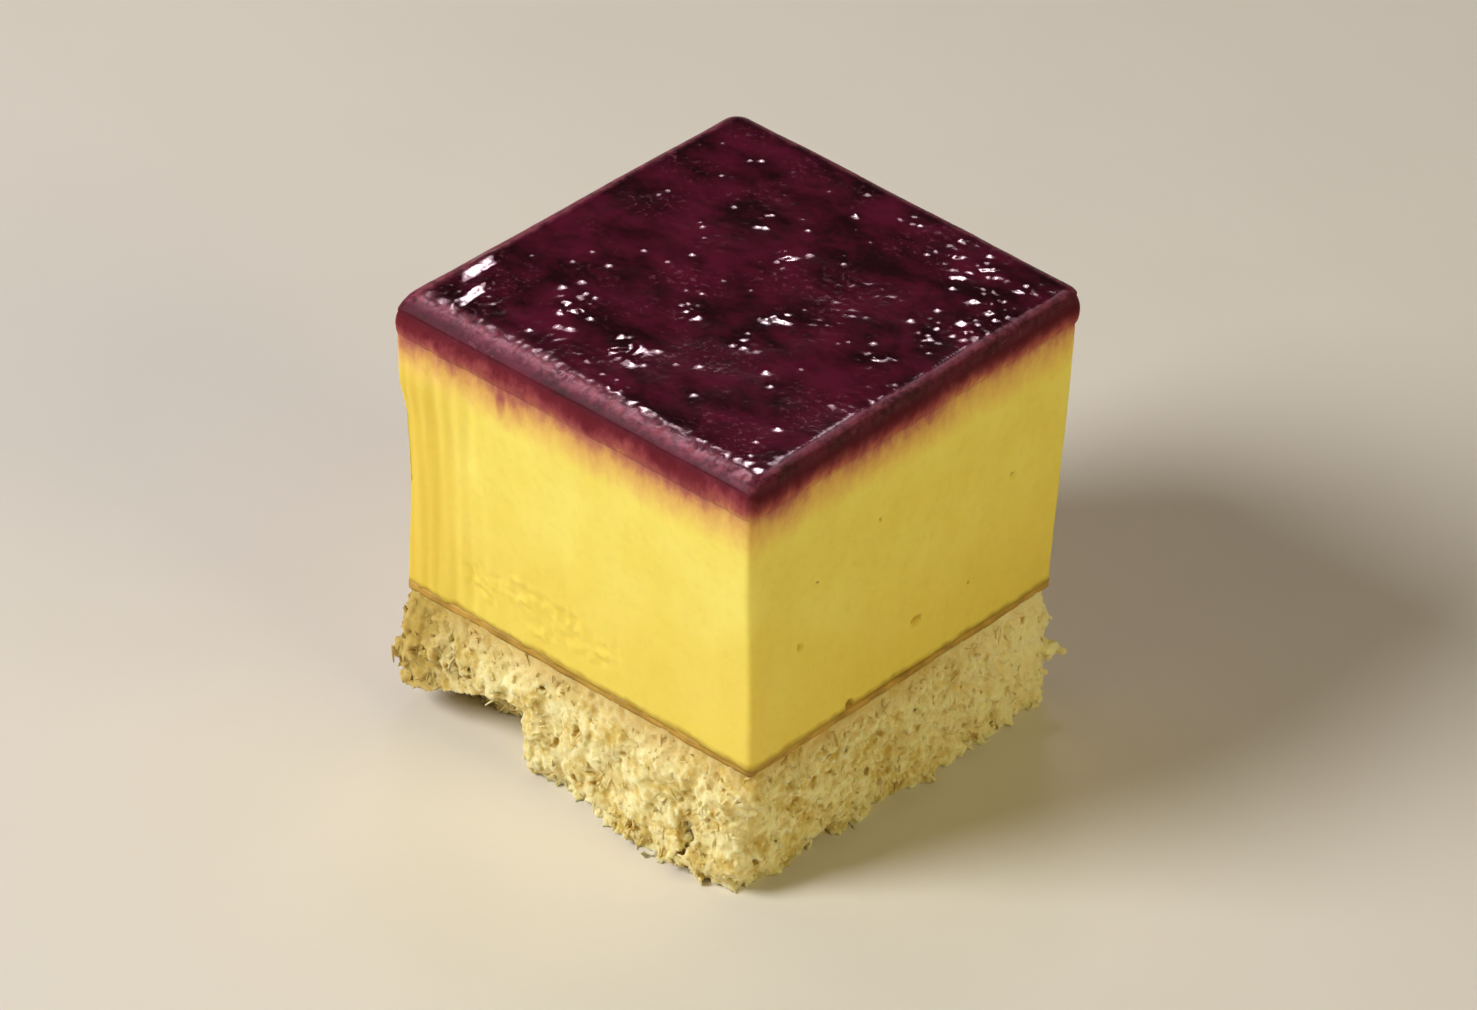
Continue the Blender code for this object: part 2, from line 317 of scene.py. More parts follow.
    # an upright crease in the front wall, and the tufts
    groove = add(tree, vectorCalc, {0: place, 1: crease["place"]}, operation="SUBTRACT")
    groove = add(tree, vectorCalc, {0: groove, 1: (1.0, 1.0, crease["narrow"])}, operation="MULTIPLY")
    groove = add(tree, vectorCalc, {0: groove}, operation="LENGTH")
    groove = add(tree, calc, {0: crease["radius"], 1: groove}, operation="SUBTRACT")
    wall = add(tree, calc, {0: wall, 1: groove}, operation="MAXIMUM")
    for *spot, size in tufts:
        gap = add(tree, vectorCalc, {0: place, 1: spot}, operation="DISTANCE")
        gap = add(tree, calc, {0: gap, 1: size}, operation="SUBTRACT")
        wall = add(tree, calc, {0: wall, 1: gap, 2: 0.5}, operation="SMOOTH_MIN")

    # clumps, crumbs and fibres stand out of the wall, less so up by the skin
    relief = 0.0
    for size, lift in (("lumpSize", "lump"), ("crumbSize", "crumb")):
        cells = add(tree, "ShaderNodeTexVoronoi", {"Vector": warped, "Scale": perMm(given[size])})
        rise = add(tree, calc, {0: 0.45, 1: cells.outputs["Distance"]}, operation="SUBTRACT")
        relief = add(tree, calc, {0: rise, 1: given[lift], 2: relief}, operation="MULTIPLY_ADD")
    fine = {"Vector": warped, "Scale": perMm(given["fibreSize"]), "Detail": 1.0, "Roughness": 0.6}
    fine = add(tree, calc, {0: add(tree, cloudy, fine), 1: 0.5}, operation="SUBTRACT")
    relief = add(tree, calc, {0: fine, 1: given["fibre"], 2: relief}, operation="MULTIPLY_ADD")
    shred = add(tree, cloudy, {"Vector": place, "Scale": perMm(given["raggedSize"]), "Detail": 1.0})
    shred = add(tree, calc, {0: shred, 1: 0.45}, operation="SUBTRACT")
    shred = add(tree, calc, {0: shred, 1: given["ragged"]}, operation="MULTIPLY")
    atFoot = add(tree, span, {0: height, 1: 0.0, 2: given["raggedHeight"], 3: 1.0, 4: 0.0})
    relief = add(tree, calc, {0: shred, 1: atFoot, 2: relief}, operation="MULTIPLY_ADD")
    calm = add(tree, span, {0: depth, 1: 0.0, 2: 1.6, 3: 0.35, 4: 1.0})
    relief = add(tree, calc, {0: relief, 1: calm}, operation="MULTIPLY")
    wall = add(tree, calc, {0: wall, 1: relief}, operation="SUBTRACT")

    # pores of different sizes, open where they meet the wall, none just under the skin
    holes = add(tree, "ShaderNodeTexVoronoi", {"Vector": warped, "Scale": perMm(given["poreSize"])})
    chance = add(tree, split, {0: holes.outputs["Color"]})
    chance = add(tree, calc, {0: chance, 1: 1.6}, operation="POWER")
    hole = add(tree, calc, {0: chance, 1: given["pore"]}, operation="MULTIPLY")
    hole = add(tree, calc, {0: hole, 1: holes.outputs["Distance"]}, operation="SUBTRACT")
    hole = add(tree, calc, {0: hole, 1: given["poreSize"]}, operation="MULTIPLY")
    none = add(tree, span, {0: depth, 1: 0.3, 2: 1.2, 3: -1.0, 4: 0.0})
    hole = add(tree, calc, {0: hole, 1: none}, operation="ADD")
    wall = add(tree, calc, {0: wall, 1: hole}, operation="MAXIMUM")

    # the flat foot and top
    for end in (height, depth):
        past = add(tree, calc, {0: end, 1: -1.0}, operation="MULTIPLY")
        wall = add(tree, calc, {0: wall, 1: past}, operation="MAXIMUM")
    field = add(tree, calc, {0: wall, 1: -1.0}, operation="MULTIPLY")

    low, high = crumbGrid["low"], crumbGrid["high"]
    counts = [int((end - start) / crumbGrid["spacing"]) for start, end in zip(low, high)]
    volume = add(tree, "GeometryNodeVolumeCube", {
        "Density": field, "Background": -1.0,
        "Min": tuple(v * mm for v in low), "Max": tuple(v * mm for v in high),
        "Resolution X": counts[0], "Resolution Y": counts[1], "Resolution Z": counts[2],
    })
    shell = {"Volume": volume, "Threshold": 0.0, "Adaptivity": 0.05}
    shell = add(tree, "GeometryNodeVolumeToMesh", shell, resolution_mode="GRID")
    smooth = add(tree, "GeometryNodeSetShadeSmooth", {0: shell})
    ended(tree, smooth, material)
    return tree


def grown(name, tree, settings, carrier=None):
    # runs the tree on an object and keeps the result as a plain mesh
    source = carrier or bpy.data.objects.new(name + "Source", bpy.data.meshes.new(name + "Source"))
    if carrier is None:
        bpy.context.scene.collection.objects.link(source)
    modifier = source.modifiers.new("grow", "NODES")
    modifier.node_group = tree
    for item in tree.interface.items_tree:
        if item.in_out == "INPUT" and item.name in settings:
            modifier[item.identifier] = settings[item.name]
    bpy.context.view_layer.update()
    graph = bpy.context.evaluated_depsgraph_get()
    mesh = bpy.data.meshes.new_from_object(source.evaluated_get(graph))
    mesh.name = name
    source.modifiers.remove(modifier)
    if carrier is None:
        bpy.data.objects.remove(source)
    piece = bpy.data.objects.new(name, mesh)
    bpy.context.scene.collection.objects.link(piece)
    return piece


def largestShell(piece):
    # drops crumbs that float free and bubbles that are sealed inside
    body = bmesh.new()
    body.from_mesh(piece.data)
    seen, shells = set(), []
    for start in body.verts:
        if start in seen:
            continue
        seen.add(start)
        shell, queue = [], [start]
        while queue:
            vert = queue.pop()
            shell.append(vert)
            for edge in vert.link_edges:
                other = edge.other_vert(vert)
                if other not in seen:
                    seen.add(other)
                    queue.append(other)
        shells.append(shell)
    shells.sort(key=len)
    bmesh.ops.delete(body, geom=[v for shell in shells[:-1] for v in shell], context="VERTS")
    body.to_mesh(piece.data)
    body.free()


def markRise(piece, passes=5):
    # stores how far each point stands out of the surface around it, in mm
    mesh = piece.data
    count = len(mesh.vertices)
    place, normal = np.empty(count * 3), np.empty(count * 3)
    mesh.vertices.foreach_get("co", place)
    mesh.vertices.foreach_get("normal", normal)
    place, normal = place.reshape(-1, 3), normal.reshape(-1, 3)
    ends = np.empty(len(mesh.edges) * 2, dtype=np.int32)
    mesh.edges.foreach_get("vertices", ends)
    a, b = ends[::2], ends[1::2]
    near = np.bincount(a, minlength=count) + np.bincount(b, minlength=count)
    smoothed = place.copy()
    for _ in range(passes):
        total = [np.bincount(a, axis[b], count) + np.bincount(b, axis[a], count) for axis in smoothed.T]
        smoothed = np.stack(total, -1) / np.maximum(near, 1)[:, None]
    rise = ((place - smoothed) * normal).sum(-1) / mm
    mesh.attributes.new("rise", "FLOAT", "POINT").data.foreach_set("value", rise)


def crumbMaterial(name, glow):
    # Butter sponge, baked and torn: dry, open, pale yellow crumb that scatters light, browner by its skin
    material, tree, shader, place = newMaterial(name)
    x, y, z = add(tree, split, {0: place}).outputs
    clumps = add(tree, cloudy, {"Vector": place, "Scale": 1 / (2.6 * mm), "Detail": 3.0, "Roughness": 0.55})
    grains = add(tree, cloudy, {"Vector": place, "Scale": 1 / (0.5 * mm), "Detail": 2.0, "Roughness": 0.6})
    rise = add(tree, "ShaderNodeAttribute", attribute_name="rise").outputs["Fac"]
    baked = add(tree, calc, {0: clumps, 1: 5.0 * mm, 2: z}, operation="MULTIPLY_ADD")
    farRight = add(tree, span, {0: x, 1: 14.0 * mm, 2: 16.0 * mm})
    farBack = add(tree, span, {0: y, 1: 2.0 * mm, 2: 12.0 * mm, 3: 0.0, 4: 0.7})
    colour = "#d4b964"
    for share, code in (
        (add(tree, span, {0: clumps, 1: 0.40, 2: 0.60}), "#f3e7ac"),  # paler clumps
        (add(tree, span, {0: rise, 1: 0.0, 2: 0.18, 3: 0.0, 4: 0.6}), "#f6edc4"),  # tips paler: painted highlight
        (add(tree, span, {0: rise, 1: -0.02, 2: -0.24, 3: 0.0, 4: 0.4}), "#ceb260"),  # hollows darker: painted shade
        (add(tree, span, {0: grains, 1: 0.5, 2: 0.34, 3: 0.0, 4: 0.26}), "#c0a254"),  # dark and pale grains
        (add(tree, span, {0: grains, 1: 0.5, 2: 0.66, 3: 0.0, 4: 0.5}), "#f7ebb2"),
        (add(tree, span, {0: baked, 1: 11.4 * mm, 2: 14.0 * mm, 3: 0.0, 4: 0.75}), "#cba14c"),  # by the skin
        (add(tree, span, {0: x, 1: -9.0 * mm, 2: -16.0 * mm, 3: 0.0, 4: 0.85}), "#b4984a"),  # darker by the left corner: painted shade
        (add(tree, calc, {0: farRight, 1: farBack}, operation="MULTIPLY"), "#ffefb8"),  # paler by the far right corner
    ):
        colour = add(tree, mixed, {"Factor": share, 6: colour, 7: code}, data_type="RGBA")
    pits = add(tree, cloudy, {"Vector": place, "Scale": 1 / (0.3 * mm), "Detail": 2.0, "Roughness": 0.7})
    feed(tree, shader, {
        "Base Color": colour, "Roughness": 0.9, "Specular IOR Level": 0.05,
        "Sheen Weight": 0.28, "Sheen Tint": "#fff3cf",  # crumb dust, pale at a slant
        "Subsurface Weight": glow, "Subsurface Radius": (1.1, 0.85, 0.55), "Subsurface Scale": 1.0 * mm,
        "Normal": add(tree, "ShaderNodeBump", {"Height": pits, "Strength": 0.65, "Distance": 0.13 * mm}),
    })
    return material


loose = {
    "density": 3.0, "footDensity": 8.0,  # crumbs on each square mm of wall, and near the foot
    "low": 0.06, "high": 0.34, "few": 3.0,  # radius in mm; a higher power leaves fewer large ones
    "seed": 5,
}
crumbStretches = ((1.1, 0.9, 0.7), (1.9, 0.6, 0.5), (1.4, 1.0, 0.5), (2.9, 0.45, 0.4))


def looseTree(material):
    # small torn crumbs that cling to the wall and stand off it
    tree = bpy.data.node_groups.new("clingingCrumbs", "GeometryNodeTree")
    tree.interface.new_socket("Geometry", in_out="OUTPUT", socket_type="NodeSocketGeometry")
    tree.interface.new_socket("Geometry", in_out="INPUT", socket_type="NodeSocketGeometry")
    for name, value in loose.items():
        kind = "NodeSocketInt" if name == "seed" else "NodeSocketFloat"
        tree.interface.new_socket(name, in_out="INPUT", socket_type=kind).default_value = value
    given = tree.nodes.new("NodeGroupInput").outputs
    at = add(tree, "GeometryNodeInputPosition")
    place = add(tree, vectorCalc, {0: at, 3: 1 / mm}, operation="SCALE")
    height = add(tree, split, {0: place}).outputs["Z"]

    # on the walls only, clear of the skin and the ground, crowded in patches and near the foot
    facing = add(tree, split, {0: add(tree, "GeometryNodeInputNormal")}).outputs["Z"]
    facing = add(tree, calc, {0: facing}, operation="ABSOLUTE")
    upright = add(tree, calc, {0: facing, 1: 0.9}, operation="LESS_THAN")
    below = add(tree, calc, {0: height, 1: 10.3}, operation="LESS_THAN")
    above = add(tree, calc, {0: height, 1: 0.35}, operation="GREATER_THAN")
    allowed = add(tree, calc, {0: upright, 1: below}, operation="MULTIPLY")
    allowed = add(tree, calc, {0: allowed, 1: above}, operation="MULTIPLY")
    patch = add(tree, cloudy, {"Vector": place, "Scale": 0.45, "Detail": 2.0})
    patch = add(tree, span, {0: patch, 1: 0.40, 2: 0.60, 3: 0.3, 4: 1.0})
    wanted = add(tree, span, {0: height, 1: 0.5, 2: 2.4, 3: given["footDensity"], 4: given["density"]})
    wanted = add(tree, calc, {0: wanted, 1: patch}, operation="MULTIPLY")
    wanted = add(tree, calc, {0: wanted, 1: 1 / mm ** 2}, operation="MULTIPLY")
    points = add(tree, "GeometryNodeDistributePointsOnFaces", {
        "Mesh": given["Geometry"], "Selection": allowed, "Density": wanted, "Seed": given["seed"],
    })

    # dented crumbs, some drawn out to shreds
    ball = add(tree, "GeometryNodeMeshIcoSphere", {"Radius": 1.0, "Subdivisions": 1})
    shapes = tree.nodes.new("GeometryNodeGeometryToInstance")
    for index, stretch in enumerate(crumbStretches):
        apart = add(tree, vectorCalc, {0: at, 1: (index * 9.0, 0.0, 0.0)}, operation="ADD")
        dent = add(tree, cloudy, {"Scale": 1.3, "Vector": apart}).outputs["Color"]
        dent = add(tree, vectorCalc, {0: dent, 1: (0.5, 0.5, 0.5)}, operation="SUBTRACT")
        dent = add(tree, vectorCalc, {0: dent, 3: 1.6}, operation="SCALE")
        shape = add(tree, "GeometryNodeSetPosition", {"Geometry": ball, "Offset": dent})
        shape = add(tree, "GeometryNodeTransform", {"Geometry": shape, "Scale": stretch})
        tree.links.new(add(tree, "GeometryNodeGeometryToInstance", {0: shape}).outputs[0], shapes.inputs[0])
    size = add(tree, "FunctionNodeRandomValue", {2: 0.0, 3: 1.0, "Seed": 3})
    size = add(tree, calc, {0: size, 1: given["few"]}, operation="POWER")
    size = add(tree, span, {0: size, 3: given["low"], 4: given["high"]})
    size = add(tree, calc, {0: size, 1: mm}, operation="MULTIPLY")
    turn = {0: (0.0, 0.0, 0.0), 1: (6.28, 6.28, 6.28), "Seed": 4}
    turn = add(tree, "FunctionNodeRandomValue", turn, data_type="FLOAT_VECTOR")
    placed = add(tree, "GeometryNodeInstanceOnPoints", {
        "Points": points, "Instance": shapes, "Pick Instance": True, "Rotation": turn, "Scale": size,
    })
    ended(tree, placed, material)
    return tree


spongePiece = grown("spongeCrumb", spongeTree(crumbMaterial("tornButterSponge", 0.7)), sponge)
largestShell(spongePiece)
markRise(spongePiece)
# the loose crumbs keep the rise of the wall that they cling to, and are too thin to glow
crumbPiece = grown("looseCrumbs", looseTree(crumbMaterial("looseButterSponge", 0.0)), loose, spongePiece)


print("mousse")
mousse = {
    "spacing": 0.22,
    "wave": 0.12, "waveSize": 8.0,  # how the knife wandered and dragged
    "drag": 0.03, "dragSize": 1.3,
    "streakEnd": -9.0, "streak": 0.20, "streakSize": 0.9,  # upright streaks by the left corner
    "comb": 0.05, "combSize": 1.6,
    "fine": 0.015, "fineSize": 0.6,
    # the torn patch on the front wall
    "tornX": -4.0, "tornZ": 15.6, "tornWide": 9.5, "tornTall": 3.0, "torn": 0.30, "tornSize": 1.0,
    # the pressed left corner
    "dent": 0.55, "dentTop": 4.0, "dentEase": 4.0, "dentFade": 12.0, "dentReach": 9.0,
}
# bubbles opened by the knife in the right wall: distance along it, height, half width and height, depth
pits = (
    (-11.8, 20.5, 0.22, 0.24, 0.35), (1.7, 16.0, 0.50, 0.30, 0.45), (12.4, 24.3, 0.2, 0.2, 0.2),
    (-10.0, 25.6, 0.14, 0.14, 0.15), (-3.0, 27.9, 0.16, 0.16, 0.15), (7.7, 16.4, 0.2, 0.16, 0.2),
    (-5.8, 11.9, 0.4, 0.4, 0.3),
)


def cutLift(place):
    # how far the knife's cut wanders out at each place, the same for the mousse and the jelly's foot
    lift = mousse["wave"] * grain(place, mousse["waveSize"])
    lift += mousse["drag"] * grain(place * (1.0, 1.0, 0.35), mousse["dragSize"], 2)
    x, y = place[:, 0], place[:, 1]
    streaks = ease((mousse["streakEnd"] - x) / 4.0) * ease(cake["front"] + 3.0 - y)
    lift += mousse["streak"] * streaks * grain(place * (1.0, 1.0, 0.07), mousse["streakSize"], 17)
    return lift + mousse["comb"] * grain(place * (1.0, 1.0, 0.1), mousse["combSize"], 18)


def mousseWall():
    grid, out = planGrid(mousse["spacing"])
    ring, way = rim(grid), rim(out)
    count = len(ring)
    rows = int((cake["jellyFoot"] - cake["mousseFoot"]) / mousse["spacing"])
    heights = np.linspace(cake["jellyFoot"], cake["mousseFoot"], rows + 1)
    centre, half = planAt(heights)
    flat = skewed(centre[:, None] + ring[None] * half[:, None])
    tall = np.repeat(heights[:, None], count, 1)
    place = np.concatenate([flat, tall[..., None]], -1).reshape(-1, 3)
    lift = cutLift(place) + mousse["fine"] * grain(place, mousse["fineSize"], 3)
    x, y, z = place.T

    # a patch low on the front wall where the knife tore the mousse
    onFront = ease(cake["front"] + 3.0 - y)
    torn = ((x - mousse["tornX"]) / mousse["tornWide"]) ** 2
    torn = torn + ((z - mousse["tornZ"]) / mousse["tornTall"]) ** 2
    torn = ease(1.6 * (1.0 - torn)) * ease(z - cake["mousseFoot"] - 0.4) * onFront
    torn *= np.clip(0.7 + 1.2 * grain(place, 2.5, 24), 0.0, 1.0)
    ragged = grain(place * (0.8, 1.0, 1.2), mousse["tornSize"], 35) + 0.8 * grain(place, 0.5, 36)
    lift += mousse["torn"] * torn * ragged

    for along, height, wide, tall, deep in pits:
        away = ((y - along) / wide) ** 2 + ((z - height) / tall) ** 2
        lift -= 2.2 * deep * np.exp(-away ** 2) * (x > cake["right"] - 1.0)

    # the left corner is pressed in, most of all some way below the jelly
    corner = skewed(centre - half)
    apart = np.linalg.norm(flat - corner[:, None], axis=-1).reshape(-1)
    dent = np.maximum(0.0, 1.0 - apart / mousse["dentReach"]) ** 2
    dent *= ease((cake["jellyFoot"] - mousse["dentTop"] - place[:, 2]) / mousse["dentEase"])
    dent *= ease((place[:, 2] - cake["mousseFoot"]) / mousse["dentFade"])
    lift -= mousse["dent"] * dent
    place[:, :2] += np.tile(way, (rows + 1, 1)) * lift[:, None]
    return place, closedRings(rows + 1, count)


stain = {  # how the jelly's colour fades through the mousse: mm below the jelly's foot, and the colour there
    -2.4: "#5e111d", -1.6: "#6b1c27", -1.0: "#8a393f", -0.3: "#a6564c", 0.25: "#c07a53",
    0.75: "#d49858", 1.4: "#e3b25d", 2.4: "#efca64", 4.6: "#f4db62",
}
stainRun = {"place": (-7.8, -17.9, 33.7), "halfSize": (0.75, 2.5, 1.8), "drop": 1.2}


def jellyStain(tree, place):
    # how far below the jelly each point lies, wandering with the stain, and the stain's colour there
    height = add(tree, split, {0: place}).outputs["Z"]
    drop = add(tree, calc, {0: cake["jellyFoot"] * mm, 1: height}, operation="SUBTRACT")
    drawn = add(tree, "ShaderNodeMapping", {"Vector": place, "Scale": (1.0, 1.0, 0.6)})
    for size, reach, detail in ((0.9, 2.6, 6.0), (5.0, 2.6, 2.0)):
        wander = {"Vector": drawn, "Scale": 1 / (size * mm), "Detail": detail, "Roughness": 0.65}
        wander = add(tree, calc, {0: add(tree, cloudy, wander), 1: 0.5}, operation="SUBTRACT")
        drop = add(tree, calc, {0: wander, 1: reach * mm, 2: drop}, operation="MULTIPLY_ADD")
    # one longer run of colour on the front wall
    middle = tuple(v * mm for v in stainRun["place"])
    shrink = tuple(1 / (v * mm) for v in stainRun["halfSize"])
    run = add(tree, vectorCalc, {0: place, 1: middle}, operation="SUBTRACT")
    run = add(tree, vectorCalc, {0: run, 1: shrink}, operation="MULTIPLY")
    run = add(tree, vectorCalc, {0: run}, operation="LENGTH")
    run = add(tree, span, {0: run, 1: 1.0, 2: 0.3, 3: 0.0, 4: stainRun["drop"] * mm}, **soft)
    drop = add(tree, calc, {0: drop, 1: run}, operation="SUBTRACT")
    first, last = min(stain), max(stain)
    tint = add(tree, "ShaderNodeValToRGB", {0: add(tree, span, {0: drop, 1: first * mm, 2: last * mm})})
    ramp = tint.color_ramp
    ramp.elements[0].color, ramp.elements[1].color = linearColour(stain[first]), linearColour(stain[last])
    for drops in list(stain)[1:-1]:
        ramp.elements.new((drops - first) / (last - first)).color = linearColour(stain[drops])
    return drop, tint


def mousseMaterial():
    # Steamed sweet potato and cream, set and knife-cut: dense, satin, deep yellow, stained by the jelly
    material, tree, shader, place = newMaterial("knifeCutSweetPotatoMousse")
    x, y, z = add(tree, split, {0: place}).outputs
    cloud = add(tree, cloudy, {"Vector": place, "Scale": 1 / (6 * mm), "Detail": 3.0})
    mottle = add(tree, cloudy, {"Vector": place, "Scale": 1 / (0.9 * mm), "Detail": 3.0, "Roughness": 0.6})
    wander = add(tree, cloudy, {"Vector": place, "Scale": 1 / (1.6 * mm), "Detail": 3.0})
    soaked = add(tree, calc, {0: wander, 1: -0.9 * mm, 2: z}, operation="MULTIPLY_ADD")
    soaked = add(tree, span, {
        0: soaked, 1: (cake["mousseFoot"] - 0.35) * mm, 2: (cake["mousseFoot"] + 0.35) * mm, 3: 0.9, 4: 0.0,
    }, **soft)
    drop, tint = jellyStain(tree, place)
    layers = [
        (add(tree, span, {0: cloud, 1: 0.35, 2: 0.65}), "#fbe871"),
        (add(tree, span, {0: z, 1: 27 * mm, 2: 13 * mm, 3: 0.0, 4: 0.6}, **soft), "#eed153"),  # low down
        (add(tree, span, {0: x, 1: -10 * mm, 2: -16 * mm}, **soft), "#e8c94a"),  # painted shade, darker by the left corner
        (add(tree, span, {0: mottle, 1: 0.5, 2: 0.3, 3: 0.0, 4: 0.16}), "#e2bf3e"),  # mottle
        (add(tree, span, {0: drop, 1: 2.4 * mm, 2: 4.0 * mm, 3: 1.0, 4: 0.0}), tint),  # the jelly's stain
        (soaked, "#b8912a"),  # colour drawn out of the baked skin
    ]
    for along, height, wide, tall, _ in pits:  # shade gathers in the opened bubbles
        spot = (cake["right"] * mm, along * mm, height * mm)
        reach = (0.15 / mm, 0.8 / (wide * mm), 0.8 / (tall * mm))
        away = add(tree, vectorCalc, {0: place, 1: spot}, operation="SUBTRACT")
        away = add(tree, vectorCalc, {0: away, 1: reach}, operation="MULTIPLY")
        away = add(tree, vectorCalc, {0: away}, operation="LENGTH")
        layers.append((add(tree, span, {0: away, 1: 1.0, 2: 0.4, 3: 0.0, 4: 0.7}), "#8f6a1c"))
    colour = "#f5df61"
    for share, code in layers:
        colour = add(tree, mixed, {"Factor": share, 6: colour, 7: code}, data_type="RGBA")
    knife = add(tree, "ShaderNodeMapping", {"Vector": place, "Scale": (1.0, 1.0, 0.3)})
    knife = add(tree, cloudy, {"Vector": knife, "Scale": 1 / (0.6 * mm), "Detail": 4.0, "Roughness": 0.6})
    feed(tree, shader, {
        "Base Color": colour, "Roughness": 0.48, "IOR": 1.4,
        "Subsurface Weight": 0.35, "Subsurface Radius": (1.6, 1.0, 0.3), "Subsurface Scale": 0.9 * mm,
        "Normal": add(tree, "ShaderNodeBump", {"Height": knife, "Strength": 0.22, "Distance": 0.08 * mm}),
    })
    return material


moussePiece = meshPiece("mousseBlock", *mousseWall(), mousseMaterial())


print("baked skin")
skin = {"low": 10.9, "high": 11.55, "rings": 4, "spacing": 0.3, "wave": 0.12, "waveSize": 1.6}


def skinRing():
    grid, out = planGrid(skin["spacing"])
    ring, way = rim(grid), rim(out)
    count, rings = len(ring), skin["rings"]
    heights = np.linspace(skin["high"], skin["low"], rings)
    centre, half = planAt(np.full(rings, cake["mousseFoot"]))
    flat = skewed(centre[:, None] + ring[None] * half[:, None])
    place = np.concatenate([flat, np.repeat(heights[:, None], count, 1)[..., None]], -1).reshape(-1, 3)
    lift = skin["wave"] * grain(place, skin["waveSize"], 5)
    place[:, :2] += np.tile(way, (rings, 1)) * lift[:, None]
    return place, closedRings(rings, count)


def skinMaterial():
    # The sponge's baked upper skin, soaked by the mousse: thin, moist and golden brown
    material, tree, shader, place = newMaterial("bakedSpongeSkin")
    patches = add(tree, cloudy, {"Vector": place, "Scale": 1 / (1.8 * mm), "Detail": 3.0})
    share = add(tree, span, {0: patches, 1: 0.35, 2: 0.65})
    colour = add(tree, mixed, {"Factor": share, 6: "#a07a24", 7: "#c89c3e"}, data_type="RGBA")
    feed(tree, shader, {"Base Color": colour, "Roughness": 0.6})
    return material


skinPiece = meshPiece("bakedSkin", *skinRing(), skinMaterial())


print("jelly")
jelly = {
    "spacing": 0.155, "edge": 0.28, "edgeTurns": (30, 60, 90), "sideRows": 12, "slump": 0.25,
    # width and drop of the shoulder along each edge
    "shoulder": {"front": (2.4, 0.95), "right": (1.1, 0.4), "back": (1.2, 0.3), "left": (1.4, 0.4)},
    "ripple": 0.12, "rippleSize": 9.0,
    "dimple": 0.03, "dimpleSize": 2.4,
    "wrinkle": 0.030, "wrinkleSize": 0.9, "patchSize": 5.0,
    "pucker": 0.17, "puckerSize": 0.8, "puckerFine": 0.42,
    "pips": 110, "pipLow": 0.18, "pipHigh": 0.5, "seed": 4,
    "frontBand": 0.05, "rightBand": 0.07,  # roughness of the dried film along those edges
    "sideWave": 0.14, "sideWaveSize": 3.0, "sideFine": 0.07, "sideFineSize": 0.9,
}
welts = (  # two long facets by the left corner: place, half widths in mm, and slopes
    (-17.1, -11.2, 0.85, 2.6, -0.144, 0.084), (-14.8, -14.2, 0.65, 2.4, -0.144, 0.084),
)
puckers = (  # where the set film has crumpled: place, reach in mm and strength
    (-16.6, -10.8, 2.6, 0.25), (-13.0, -13.6, 2.0, 0.4), (-8.4, -9.8, 2.6, 1.1), (-1.4, -11.2, 2.2, 1.2),
    (1.7, -15.6, 1.4, 0.7), (-1.5, -4.5, 1.8, 0.8), (4.4, -4.4, 1.3, 0.8), (-1.0, 6.2, 1.6, 0.9),
    (4.0, 0.0, 1.5, 1.0), (12.7, 1.2, 2.2, 0.7), (13.6, 6.4, 1.8, 0.7), (9.6, 14.2, 3.2, 0.7),
    (14.4, 12.6, 3.4, 0.9), (1.7, 17.0, 1.4, 0.6), (15.4, 8.6, 2.2, 0.8), (11.6, 16.4, 2.4, 0.7),
    (15.2, 16.2, 1.8, 0.8), (7.0, 17.6, 1.6, 0.6),
)


def jellyPips():
    # pinhead bubbles and drops in the film, most of them where it has crumpled: place, radius and rise
    random = np.random.default_rng(jelly["seed"])
    pips = [(x + reach * random.normal(0, 0.5), y + reach * random.normal(0, 0.5), strength)
            for x, y, reach, strength in puckers for _ in range(int(4 * reach * strength))]
    for _ in range(jelly["pips"]):
        pips.append((*(cakeCentre + random.uniform(-1, 1, 2) * cakeHalf * 0.95), 0.7))
    for x, y, strength in pips:
        radius = random.uniform(jelly["pipLow"], jelly["pipHigh"]) * strength
        yield x, y, radius, random.uniform(0.12, 0.26) * radius


